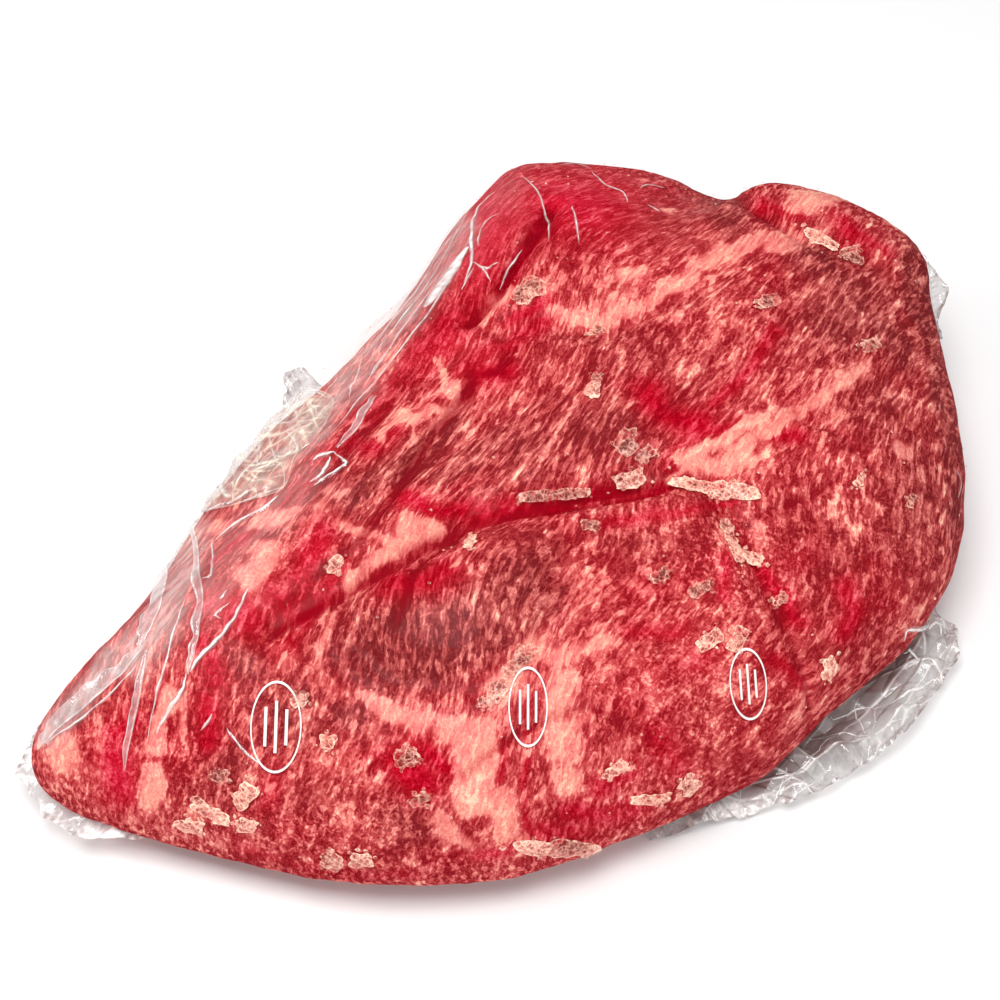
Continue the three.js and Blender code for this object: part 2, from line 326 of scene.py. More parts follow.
FRESH_PADS = [
    (492, 857, 26, 9, 5, 1.0), (541, 222, 14, 18, 0, 1.0), (637, 272, 10, 9, 0, 0.8),
    (484, 226, 44, 80, -28, 1.0), (762, 206, 11, 14, 0, 0.8), (850, 232, 24, 11, -40, 1.0),
    (570, 205, 80, 44, -6, 1.0), (450, 330, 70, 30, 50, 0.8), (270, 790, 26, 12, 60, 0.6),
    (330, 450, 26, 12, 40, 0.5), (700, 660, 30, 16, 20, 0.5), (800, 560, 30, 20, 30, 0.4),
]
LEAN_PADS = [  # smooth meat with little fat in it
    (600, 200, 110, 40, -8, 0.9), (482, 232, 40, 74, -28, 1.0), (520, 212, 40, 50, 0, 0.9),
    (116, 770, 26, 34, 0, 1.0), (412, 772, 26, 20, 0, 0.8), (492, 857, 26, 9, 5, 1.0),
    (235, 606, 40, 20, 0, 0.7),
]
DARK_STROKES = [
    (22, 0.9, 345, 500, 395, 468, 455, 425), (14, 0.9, 440, 475, 500, 440),
    (16, 0.9, 470, 656, 520, 634, 560, 588), (26, 1.0, 810, 250, 865, 310, 905, 350),
    (20, 1.0, 925, 250, 935, 340, 952, 430, 958, 520),
]
DARK_PADS = [  # older, browner muscle
    (850, 312, 62, 52, 0, 1.0), (930, 285, 26, 56, 8, 2.2), (920, 500, 54, 100, 0, 0.8),
    (630, 370, 80, 40, 0, 0.5), (660, 222, 60, 26, -10, 0.6), (725, 212, 46, 24, -25, 1.0),
    (430, 632, 96, 48, 16, 1.9), (510, 590, 60, 40, 40, 1.2), (600, 425, 90, 44, 15, 0.8),
    (530, 450, 60, 40, 20, 0.8), (290, 716, 46, 50, 0, 0.9), (345, 712, 36, 26, 0, 0.8),
    (228, 770, 40, 50, 0, 0.7), (244, 662, 22, 20, 0, 0.8), (408, 822, 42, 34, 0, 0.8),
    (310, 800, 60, 30, 10, 0.5), (830, 540, 50, 60, 0, 0.5), (880, 400, 50, 70, 20, 0.6),
    (640, 540, 70, 30, 0, 0.4), (860, 640, 40, 24, 30, 0.4),
]


def in_photo(rows):
    """Where places in metres show in the photograph, in its pixels."""
    away = rows - np.array(camera_place)
    scale = CAMERA_LENS / CAMERA_SENSOR * PHOTO_SIDE / (away @ -np.array(towards_camera))
    return PHOTO_SIDE / 2 + away[:, 0] * scale, PHOTO_SIDE / 2 - away @ np.array(camera_up) * scale


photo_x, photo_y = in_photo(form_places * MM)
WANDER = (13, 7)  # millimetres from one bend of a finish's outline to the next, and its reach in pixels
drawn_x = photo_x + WANDER[1] * noise_over(form_places, WANDER[0], seed=3)
drawn_y = photo_y + WANDER[1] * noise_over(form_places, WANDER[0], seed=4)


def points_of(numbers):
    """The points of a line that is given as x and y in turn."""
    return list(zip(numbers[::2], numbers[1::2]))


def blot(strokes, pads):
    """How much of a finish lies at each point of the form, from strokes and pads."""
    drawn = [strength * seam(drawn_x, drawn_y, width, points_of(line)) for width, strength, *line in strokes]
    for pixel_x, pixel_y, half_length, half_width, turn, strength in pads:
        place = (pixel_x, -pixel_y, half_length, half_width, turn)
        drawn.append(strength * spot(drawn_x, -drawn_y, place))
    return np.max(drawn, axis=0) * upside


GRAIN_TURN = 64  # degrees in plan in which the streaks of fat mostly run
GRAIN_ACROSS = 3.4  # millimetres between streaks
GRAIN_ALONG = 11.0
GRAIN_DOWN = 7.0
GRAIN_SWIRLS = [  # x, y, reach, turn in degrees: the muscles whose grain runs another way
    (-27, -114, 60, 18), (200, -20, 80, 22), (60, 128, 60, -30), (20, -170, 80, 16), (-60, -20, 60, -8),
    (-160, -130, 50, 18), (60, -64, 54, 24), (136, -66, 60, 18),
]


def grain_places():
    """Where each point lies in the grain of its muscle, counted in streaks."""
    flow_x, flow_y = x.copy(), y.copy()
    for middle_x, middle_y, reach, turn in GRAIN_SWIRLS:
        angle = -radians(turn) * np.exp(-((x - middle_x) ** 2 + (y - middle_y) ** 2) / reach**2)
        off_x, off_y = flow_x - middle_x, flow_y - middle_y
        flow_x = middle_x + off_x * np.cos(angle) - off_y * np.sin(angle)
        flow_y = middle_y + off_x * np.sin(angle) + off_y * np.cos(angle)
    angle = radians(GRAIN_TURN)
    along = (flow_x * cos(angle) + flow_y * sin(angle)) / GRAIN_ALONG
    across = (flow_y * cos(angle) - flow_x * sin(angle)) / GRAIN_ACROSS
    return np.stack([along, across, z / GRAIN_DOWN], 1)


grain = grain_places()
fibres = np.abs(noise_over(grain, FIBRE_SIZE, seed=2))
beef = form.copy()
beef_depth = BEEF_BELOW_FILM + creases * upside + FIBRE_HEIGHT * fibres
beef_places = form_places + form_outward * (lumps - beef_depth)[:, None]
beef_places[:, 2] = np.maximum(beef_places[:, 2], LEAST_BEEF_HEIGHT)
move_points(beef, beef_places * MM)
add_value(beef, "fat", blot(FAT_STROKES, FAT_PADS))
add_value(beef, "fresh", blot(FRESH_STROKES, FRESH_PADS))
add_value(beef, "lean", blot([], LEAN_PADS))
add_value(beef, "dark", blot(DARK_STROKES, DARK_PADS))
add_value(beef, "crinkled", blot([], CRINKLED_PADS))
# Painted shade: the meat is darker in its creases, the deeper the darker.
add_value(beef, "crease", np.clip(creases / FULL_CREASE_SHADE, 0, 1) ** 2 * upside)
add_vector(beef, "grain", grain)
beef = new_piece("beef", beef)


LIGHT = 1.15  # how brightly the lamps light a level white sheet, where 1 shows as white
NOISE_ROUGHNESS = 0.55


def linear(red, green, blue):
    """The colour that a surface needs to look like this one, of 0 to 255, under the lamps."""
    parts = [part / 255 for part in (red, green, blue)]
    parts = [part / 12.92 if part <= 0.04045 else ((part + 0.055) / 1.055) ** 2.4 for part in parts]
    return [part / LIGHT for part in parts] + [1]


class Wire:
    """One socket of a material's nodes, so that shader maths reads as an expression."""

    def __init__(self, tree, socket):
        self.tree = tree
        self.socket = socket

    def node(self, kind, settings, values, output=0):
        """Adds a shader node of any kind: its settings first, then a value or a wire for each socket."""
        made = self.tree.nodes.new("ShaderNode" + kind)
        for name, setting in settings.items():
            if name == "stops":
                ramp = made.color_ramp
                while len(ramp.elements) < len(setting):
                    ramp.elements.new(0.5)
                for element, (place, colour) in zip(ramp.elements, setting):
                    element.position = place
                    element.color = colour
            else:
                setattr(made, name, setting)
        for name, value in values.items():
            if isinstance(value, Wire):
                self.tree.links.new(value.socket, made.inputs[name])
            else:
                made.inputs[name].default_value = value
        return Wire(self.tree, made.outputs[output])

    def maths(self, operation, *values, clamp=False):
        settings = {"operation": operation, "use_clamp": clamp}
        return self.node("Math", settings, dict(enumerate(values)))

    def vector_maths(self, operation, *values):
        return self.node("VectorMath", {"operation": operation}, dict(enumerate(values)))

    def __add__(self, other):
        return self.maths("ADD", self, other)

    __radd__ = __add__

    def __sub__(self, other):
        return self.maths("SUBTRACT", self, other)

    def __rsub__(self, other):
        return self.maths("SUBTRACT", other, self)

    def __mul__(self, other):
        return self.maths("MULTIPLY", self, other)

    __rmul__ = __mul__

    def most(self, other):
        return self.maths("MAXIMUM", self, other)

    def size(self):
        return self.maths("ABSOLUTE", self)

    def value_of(self, name):
        """A value kept at the points of the mesh."""
        return self.node("Attribute", {"attribute_name": name}, {}, output=2)

    def vector_of(self, name):
        return self.node("Attribute", {"attribute_name": name}, {}, output=1)

    def ramp(self, colours):
        """The colour of this tone, from colours at the places of the tones."""
        stops = [(place, linear(*colour)) for place, colour in zip(TONE_PLACES, colours)]
        return self.node("ValToRGB", {"stops": stops}, {0: self})

    def within(self):
        return self.maths("ADD", self, 0, clamp=True)

    def fade(self, low, high):
        """0 below low and 1 above high, with a smooth change between."""
        limits = {"Value": self, "From Min": low, "From Max": high}
        return self.node("MapRange", {"interpolation_type": "SMOOTHSTEP"}, limits)

    def mix(self, first, second):
        """Mixes two colours, with this wire as the share of the second."""
        values = {"Factor": self, 6: first, 7: second}
        return self.node("Mix", {"data_type": "RGBA"}, values, output=2)

    def shade(self, first, second):
        """Mixes two shaders, with this wire as the share of the second."""
        return self.node("MixShader", {}, {0: self, 1: first, 2: second})

    def painted_glow_surface(self, roughness, glow):
        """A surface of this colour that also glows with it, a painted light that brightens milky film and
        froth.
        """
        glowing = {"Emission Color": self, "Emission Strength": glow}
        return self.node("BsdfPrincipled", {}, {"Base Color": self, "Roughness": roughness, **glowing})

    def noise(self, size, detail=2.0, output=0):
        """Noise over this vector, with features of about the given size."""
        values = {"Vector": self, "Scale": 1 / size, "Detail": detail, "Roughness": NOISE_ROUGHNESS}
        return self.node("TexNoise", {}, values, output)

    def cracks(self, cell):
        """Distance to the nearest wall between cells of the given size, over this vector."""
        values = {"Vector": self, "Scale": 1 / cell}
        return self.node("TexVoronoi", {"feature": "DISTANCE_TO_EDGE"}, values)

    def shifted(self, other, amount):
        """This vector moved by a noise colour, by up to half of the amount each way."""
        centred = self.vector_maths("SUBTRACT", other, (0.5, 0.5, 0.5))
        scaled = self.vector_maths("MULTIPLY", centred, (amount, amount, amount))
        return self.vector_maths("ADD", self, scaled)


def new_material(name):
    """An empty material, a wire to start from and the node that ends it."""
    material = bpy.data.materials.new(name)
    material.use_nodes = True
    material.node_tree.nodes.clear()
    ending = material.node_tree.nodes.new("ShaderNodeOutputMaterial")
    return material, Wire(material.node_tree, None), ending


def finish_with(wire, ending):
    wire.tree.links.new(wire.socket, ending.inputs["Surface"])


TONE_PLACES = (0.0, 0.15, 0.3, 0.45, 0.6, 0.8, 1.0)
TONES = [  # from the deepest lean to the thickest fat
    (138, 18, 28), (164, 40, 46), (188, 63, 66), (210, 92, 91), (231, 120, 115),
    (246, 160, 142), (254, 210, 180),
]
FRESH_TONES = [  # the same for wet crimson meat
    (148, 0, 18), (178, 4, 30), (198, 28, 52), (216, 58, 80), (236, 94, 108),
    (250, 138, 140), (255, 202, 182),
]
DARK_TONES = [  # the same for older, browner meat
    (114, 28, 32), (140, 46, 48), (164, 65, 64), (188, 88, 84), (212, 114, 107),
    (236, 148, 135), (250, 202, 170),
]
CREASE_SHADE_COLOUR = linear(140, 4, 24)
VEIN_CELL = 3.2  # cells of the veins of fat, counted in streaks
STRAND = 0.55
STRETCH = (0.7, 1, 1)
CRUMB = 0.0021  # metres
THREAD = 0.6
beef_material, start, ending = new_material("marbled_beef")
fat, fresh, lean, dark = (start.value_of(name) for name in ("fat", "fresh", "lean", "dark"))
crinkled, crease = start.value_of("crinkled"), start.value_of("crease")
flow = start.vector_of("grain")
here = start.node("TexCoord", {}, {}, output=3)
broad = here.noise(0.03, detail=1.0) - 0.5
patch = here.noise(0.012) - 0.5
grit = here.noise(0.0011, detail=1.0) - 0.5
flow = flow.shifted(flow.noise(1.6, output=1), 0.55)
flow = flow.shifted(flow.noise(0.4, detail=0.0, output=1), 0.3)
clump = flow.noise(1.7, detail=1.0) - 0.5
gap = flow.cracks(1.0)
pits = gap.fade(0.2, 0.5)
reach = clump * 0.8 + patch * 0.4 + fat * 0.15 - lean * 0.08 - fresh * 0.1
web = (reach - gap).fade(-0.14, 0.04)
vein_reach = clump * 0.3 + patch * 0.4 - 0.02 + fat * 0.1 - lean * 0.1 - fresh * 0.1
vein = (vein_reach - flow.cracks(VEIN_CELL)).fade(-0.04, 0.03)
threads = 1 - (flow.noise(THREAD, detail=1.0) - 0.5).size().fade(0.0, 0.09)
drawn_out = start.vector_maths("MULTIPLY", flow, STRETCH)
streaks = drawn_out.noise(STRAND, detail=0.6)
crumbs = here.shifted(here.noise(0.004, detail=1.0, output=1), 0.004).noise(CRUMB, detail=1.0)
strands = (streaks + (crumbs - streaks) * crinkled + clump * 0.16).fade(0.5, 0.6)
smooth = lean.most(fresh * 0.7)
thick = (fat + patch * 0.7 + clump * 0.4 + strands * 0.14 + threads * 0.06).fade(0.42, 0.84)
marbling = web * 0.18 + strands * 0.32 + threads * 0.2 + vein * 0.22
marbling = marbling * (1 - smooth * 0.6) * (1 - thick * 0.35)
tone = broad * 0.34 + patch * 0.26 + clump * 0.12 + grit * 0.5 - dark * 0.08
tone = tone + 0.06 + marbling + smooth * 0.12 + lean * 0.13 - fresh * 0.06 - pits * 0.06 + fat * 0.06
fat_tone = 0.4 + fat * 0.26 + patch * 0.5 + grit * 0.36 + strands * 0.14 + threads * 0.1 - pits * 0.12
# Painted shade: the tone is lowered in the creases, and below they are darkened towards deep crimson.
tone = (tone.most(thick * fat_tone) - crease * 0.3).within()
fresh = (fresh * (1 - thick) + (-0.08 - broad).fade(0.0, 0.12) * (1 - dark.within()) * 0.2).within()
meat = dark.within().mix(tone.ramp(TONES), tone.ramp(DARK_TONES))
meat = fresh.mix(meat, tone.ramp(FRESH_TONES))
meat = (crease * 0.5).within().mix(meat, CREASE_SHADE_COLOUR)
beef_values = {"Base Color": meat, "Roughness": 0.5, "Specular IOR Level": 0.0}
finish_with(meat.node("BsdfPrincipled", {}, beef_values), ending)
beef.data.materials.append(beef_material)

# The clear film: a tough shrink bag, drawn tight by the vacuum, that clings to the whole roll.
# It bridges the finest creases of the meat and stands off a little along the stretched left edge.
FILM_CLEARANCE = 0.3
TENT = (-72, 48, 44, 20, 54, 6)  # x, y, half length, half width, turn, height
HAZE_STROKES = [  # the milky stretches of film, given as the strokes of fat are
    (16, 0.32, 462, 226, 428, 282, 392, 334, 356, 386), (14, 0.3, 350, 386, 322, 420, 288, 462),
    (20, 0.4, 190, 528, 182, 574, 164, 622, 136, 656), (12, 0.36, 130, 640, 92, 684, 52, 730),
    (26, 0.16, 300, 480, 240, 540, 206, 600), (22, 0.06, 458, 250, 480, 218, 506, 190),
]
STREAK_TURN = 54  # degrees in plan along which the drawn film is streaked
STREAK_SCALE = (9, 1, 2)
film = form.copy()
stretched = spot(x, y, TENT[:5]) * TENT[5] * upside
film_places = form_places + form_outward * (lumps + FILM_CLEARANCE + stretched)[:, None]
film_places[:, 2] = np.maximum(film_places[:, 2], 0.0)
move_points(film, film_places * MM)
film = new_piece("film", film)
add_value(film.data, "haze", blot(HAZE_STROKES, []))


def film_finish(name, milk_colour, roughness, shine, rim_shine, dents):
    """Clear film: see-through and glossy, milky by its haze, grey by painted shade, brown by painted shadow.
    """
    material, start, ending = new_material(name)
    here = start.node("TexCoord", {}, {}, output=3)
    ripple = here.noise(0.005) + here.noise(0.0015, detail=1.0) * 0.25
    bump = start.node("Bump", {}, {"Height": ripple, "Strength": dents, "Distance": 0.001})
    clear = start.node("BsdfTransparent", {}, {})
    gloss_values = {"Base Color": (1, 1, 1, 1), "Metallic": 1, "Roughness": roughness, "Normal": bump}
    gloss = start.node("BsdfPrincipled", {}, gloss_values)
    stain = start.value_of("stain")
    milk_tone = start.value_of("shade").mix(milk_colour, linear(138, 124, 120))
    # Painted shadow: the film is browner where it lies under the roll's overhang.
    milk_tone = stain.mix(milk_tone, linear(88, 60, 56))
    # Painted light: the milky film glows a little with its own colour.
    milk = milk_tone.painted_glow_surface(roughness=0.35, glow=0.12)
    placing = {"Vector": here, "Rotation": (0, 0, radians(STREAK_TURN)), "Scale": STREAK_SCALE}
    streaks = start.node("Mapping", {"vector_type": "TEXTURE"}, placing).noise(0.003)
    milkiness = 0.4 + ripple * 0.3 + (streaks - 0.5).fade(-0.12, 0.16) * 0.5
    # The haze also carries painted highlights: loose film is whiter along its ridges, in its glints and on
    # its welts' crests.
    haze = (start.value_of("haze") * milkiness + stain * 0.9).within()
    edge_on = start.node("LayerWeight", {}, {"Blend": 0.5, "Normal": bump}, output=1)
    glance = edge_on.maths("POWER", edge_on, 4.0) * rim_shine + shine
    finish_with(glance.within().shade(haze.shade(clear, milk), gloss), ending)
    return material


tight_film = film_finish(
    "tight_film", linear(250, 236, 228), roughness=0.22, shine=0.003, rim_shine=0.05, dents=0.35
)
film.data.materials.append(tight_film)

# The loose film: a crumpled tail at the lower right, where the bag was sealed, a hem round the
# left tip, a small peak on the left slope and a small corner at the upper right.
FOLDS = {  # buried edge and free edge, anticlockwise from above, in millimetres
    "tail": (
        [(56, -148, 6), (84, -130, 10), (112, -108, 11), (150, -72, 12), (176, -30, 14)],
        [(62, -164, 4), (88, -157, 5), (107, -151, 6), (131, -145, 7), (151, -134, 9), (177, -115, 10),
         (193, -95, 10), (208, -71, 10), (211, -58, 10), (202, -38, 13)],
    ),
    "hem": (
        [(-178, -98, 22), (-190, -130, 19), (-176, -146, 18), (-140, -160, 18)],
        [(-208, -112, 26), (-218, -134, 20), (-214, -148, 16), (-200, -162, 14), (-176, -172, 16),
         (-152, -172, 19)],
    ),
    "peak": (
        [(-76, 58, 50), (-96, 36, 46)],
        [(-90, 61, 55), (-99, 70, 57), (-108, 67, 57), (-110, 52, 53)],
    ),
    "corner": (
        [(200, 84, 58), (194, 132, 64)],
        [(213, 86, 62), (214, 102, 65), (218, 112, 68), (215, 126, 69), (207, 137, 68)],
    ),
}
FOLD_CRUMPLES = {  # columns, rows, height and size of the facets, milk, shadow, reach of the painted shadow under the roll's overhang
    "tail": (360, 110, 7.0, 16, 0.3, 0.5, 0.8), "hem": (180, 40, 2.0, 12, 0.3, 0.3, 0),
    "peak": (70, 50, 2.5, 9, 0.5, 0.8, 0), "corner": (110, 36, 2.5, 9, 0.5, 0.75, 0),
}
CREASE_WIDTH = 0.5  # millimetres
FACET_WAYS = 6
FACET_SPREAD = (0.6, 1.9)  # shares of the facets' size
FOLD_ABOVE_GROUND = 0.4  # millimetres
RAGGED_EDGE = (9, 3.5)  # size and reach of the unevenness of a free edge, in millimetres
OUTER_SHARE = 0.3  # share of a fold's width in which it is crushed finely
FINE_FACETS = 0.4  # size of those facets, in shares of the broad ones


def crushed(rows, size, seed):
    """Film crushed into flat facets: the height in shares of their size, where its sharp ridges lie, for a
    painted highlight, where its valleys lie, for painted shade, and a tone of about -1 to 1 that is the same
    all over a facet."""
    draw = np.random.default_rng(seed)
    height, ridge_highlights, valley_shade, tone = np.zeros((4, len(rows)))
    for number in range(FACET_WAYS):
        way = draw.normal(size=3)
        length = size * draw.uniform(*FACET_SPREAD)
        bend = noise_over(rows, 2.5 * size, seed + number)
        turn = rows @ way / np.linalg.norm(way) / length + 0.7 * bend + draw.uniform()
        facet = 2 * np.abs(turn - np.round(turn))
        strength = np.clip(2.8 * bend, 0, 1)
        height += (facet - 0.5) * length / size / FACET_WAYS * 2
        ridge_highlights = np.maximum(ridge_highlights, strength * np.exp(-(((1 - facet) * length / 2 / CREASE_WIDTH) ** 2)))
        valley_shade = np.maximum(valley_shade, strength * np.exp(-((facet * length / 2 / CREASE_WIDTH) ** 2)))
        tone += np.sin(12.9 * np.round(turn) + number) / FACET_WAYS**0.5
    return height, ridge_highlights, valley_shade, tone


def flat_sheet(columns, rows):
    """A flat grid, and for each of its points how far along and how far up it lies, from 0 to 1."""
    bm = bmesh.new()
    bmesh.ops.create_grid(bm, x_segments=columns - 1, y_segments=rows - 1, size=1)
    mesh = mesh_from(bm)
    shares = (places(mesh) + 1) / 2
    return mesh, shares[:, 0], shares[:, 1]


loose_film = film_finish(
    "loose_film", linear(252, 249, 246), roughness=0.1, shine=0.045, rim_shine=0.7, dents=0.5
)
folds = []
for name, (buried, free) in FOLDS.items():
    columns, rows, height, facet, milk, shadow, overhang_shade_reach = FOLD_CRUMPLES[name]
    sheet, along, inwards = flat_sheet(columns, rows)
    edge = on_curve(free, along, closed=False)
    laid = edge + (on_curve(buried, along, closed=False) - edge) * inwards[:, None]
    ragged = noise_over(laid, RAGGED_EDGE[0], seed=9) * (1 - inwards) ** 2
    laid[:, :2] += RAGGED_EDGE[1] * ragged[:, None]
    outer = np.clip(1 - inwards / OUTER_SHARE, 0, 1)
    lift, ridge_highlights, valley_shade, tone = crushed(laid, facet, seed=5)
    fine_lift, fine_ridge_highlights, fine_valley_shade, fine_tone = crushed(laid, FINE_FACETS * facet, seed=40)
    laid[:, 2] += height * (lift + 0.3 * fine_lift * outer)
    laid[:, 2] = np.maximum(laid[:, 2], FOLD_ABOVE_GROUND + 0.3 * lift)
    move_points(sheet, laid * MM)
    ridge_highlights = np.maximum(ridge_highlights, fine_ridge_highlights * outer)
    valley_shade = np.maximum(valley_shade, fine_valley_shade * outer)
    tone = tone + fine_tone * outer
    border = np.exp(-((inwards * rows / 2) ** 2))
    # Painted shadow: where a fold starts, under the roll, it is greyer, as if in the roll's shadow.
    shaded_fold_start = np.clip(1.4 - 4 * along, 0, 1)
    white = milk * (0.8 + 0.35 * tone + 0.7 * outer) + 0.1 * shaded_fold_start
    # Painted glints: white specks on the finely crushed outer zone of a fold.
    glints = np.clip(fine_tone * 3 - 1.7, 0, 1) * outer
    # Painted highlight and shade: the film is whiter along its ridges and darker along its valleys.
    add_value(sheet, "haze", np.clip(white + ridge_highlights * 0.5 + valley_shade * 0.3 + border * 0.5 + glints, 0, 1))
    grey = shadow * (1 - tone) + valley_shade - ridge_highlights - glints + 0.4 * shaded_fold_start
    add_value(sheet, "shade", np.clip(grey, 0, 1))
    # Painted shadow: a dark brown band along the buried edge stands for the shade under the roll's overhang.
    if overhang_shade_reach:
        stain = np.clip((inwards + 0.2 * lift + 0.12 * tone - 1 + overhang_shade_reach) * 5, 0, 1)
        add_value(sheet, "stain", stain * (0.85 - 0.5 * ridge_highlights))
    sheet = new_piece(f"film_{name}", sheet)
    sheet.data.materials.append(loose_film)
    folds.append(sheet)

# The gathered film on the left: a crushed milky bunch where the bag is drawn together between the
# shoulder and the left tip, and welts, flat bands and fine creases that run out from it.
BUNCH_IN_PHOTO = [
    (275, 398), (305, 388), (334, 400), (318, 436), (296, 456), (284, 488), (252, 500), (222, 508),
    (190, 510), (206, 478), (236, 440),
]
BUNCH_SIDE = 170  # points along each side
BUNCH_HEIGHT = 2.2  # millimetres
BUNCH_HAZE = 0.6
BUNCH_FACETS = (14, 6)  # size of the broad facets and of the fine ones, in millimetres


def cover(pieces):
    """The surface of some pieces, to lay others on."""
    corners = []
    faces = []
    for piece in pieces:
        start = len(corners)
        corners += [vertex.co for vertex in piece.data.vertices]
        faces += [[start + corner for corner in face.vertices] for face in piece.data.polygons]
    return BVHTree.FromPolygons(corners, faces)


def seen(pixel, surface, lift=0.0):
    """Where a place in the photograph lies on a surface, raised by some metres, and its outward way."""
    pixel_x, pixel_y = pixel
    scale = CAMERA_SENSOR / CAMERA_LENS / PHOTO_SIDE
    across = Vector((1, 0, 0)) * ((pixel_x - PHOTO_SIDE / 2) * scale)
    down = camera_up * ((pixel_y - PHOTO_SIDE / 2) * scale)
    way = (across - down - towards_camera).normalized()
    place, up, _, _ = surface.ray_cast(camera_place, way)
    if place is None:
        place, _, _, _ = surface.find_nearest(camera_place + way * CAMERA_DISTANCE)
        missed_by = (place - camera_place).cross(way).length
        place, up, _, _ = surface.find_nearest(place + way * (2 * missed_by))
    return place + up * lift, up


tight = cover([film])
bunch, across, along = flat_sheet(BUNCH_SIDE, BUNCH_SIDE)
across, along = across * 2 - 1, along * 2 - 1
disc_x = across * np.sqrt(1 - along**2 / 2)
disc_y = along * np.sqrt(1 - across**2 / 2)
reach = np.hypot(disc_x, disc_y)
corners = np.array(BUNCH_IN_PHOTO, float)
middle = corners.mean(axis=0)
bunch_edge = on_curve(corners, np.arctan2(disc_y, disc_x) / (2 * pi) % 1, closed=True)
spots = [seen(pixel, tight) for pixel in middle + (bunch_edge - middle) * reach[:, None]]
laid = np.array([place for place, _ in spots]) / MM
lift, ridge_highlights, valley_shade, tone = crushed(laid, BUNCH_FACETS[0], seed=21)
fine_lift, fine_ridge_highlights, fine_valley_shade, fine_tone = crushed(laid, BUNCH_FACETS[1], seed=30)
ridge_highlights = np.maximum(ridge_highlights, 0.7 * fine_ridge_highlights)
swelling = np.clip((1 - reach) * 5, 0, 1)
raised = 0.3 + swelling * np.clip(BUNCH_HEIGHT * (0.5 + lift + 0.2 * fine_lift), 0, 9)
move_points(bunch, (laid + np.array([up for _, up in spots]) * raised[:, None]) * MM)
rim = np.exp(-(((1 - reach) * 30) ** 2))
milk = BUNCH_HAZE * (1 + 0.5 * tone + 0.3 * fine_tone)
# Painted highlight and shade: the bunch is whiter along its ridges and darker along its valleys.
add_value(bunch, "haze", np.clip((milk + ridge_highlights * 0.7) * swelling + rim * 0.4, 0, 1))
add_value(bunch, "shade", np.clip((valley_shade + 0.6 * fine_valley_shade) * 0.5 - 0.1 * tone - ridge_highlights, 0, 1))
bunch = new_piece("film_bunch", bunch)
bunched_film = film_finish(
    "bunched_film", linear(253, 238, 216), roughness=0.12, shine=0.04, rim_shine=0.6, dents=0.5
)
bunch.data.materials.append(bunched_film)

# Across a welt, the white haze of its crest is partly a painted highlight, and the grey of its sides is
# painted shade.
WELTS = {  # half width, height, unevenness, then across the welt: place, lift, haze and shade
    "fold": (1.5, 1.2, 1.0, [(-1, 0, 0, 1), (-0.6, 0.4, 0.4, 0.9), (-0.35, 0.8, 0.9, 0), (0, 1, 1, 0),
                             (0.35, 0.8, 0.9, 0), (0.6, 0.4, 0.4, 0.9), (1, 0, 0, 1)]),
    "line": (0.8, 0.5, 1.0, [(-1, 0, 0, 0.6), (-0.4, 0.6, 0.5, 0.3), (0, 1, 1, 0), (0.4, 0.6, 0.5, 0.3),
                             (1, 0, 0, 0.6)]),
    "band": (4.0, 0.9, 0.7, [(-1, 0, 0.1, 0.6), (-0.92, 0.7, 0.85, 0), (-0.75, 0.8, 0.36, 0.1),
                             (0, 1, 0.44, 0.1), (0.75, 0.8, 0.36, 0.1), (0.92, 0.7, 0.85, 0),
                             (1, 0, 0.1, 0.6)]),
    "roll": (2.0, 1.6, 0.8, [(-1, 0, 0.1, 0.8), (-0.85, 0.7, 0.9, 0), (-0.5, 0.9, 0.3, 0.2),
                             (0.3, 1, 0.3, 0.2), (0.8, 0.7, 0.95, 0), (1, 0, 0.1, 0.8)]),
    # A gleam is a painted highlight: a broad white strip of film where a lamp's glare shows.
    "gleam": (4.2, 0.4, 0.25, [(-1, 0, 0, 0), (-0.7, 0.6, 0.6, 0), (-0.3, 1, 1, 0), (0.3, 1, 1, 0),
                               (0.7, 0.6, 0.7, 0), (1, 0, 0, 0)]),
}
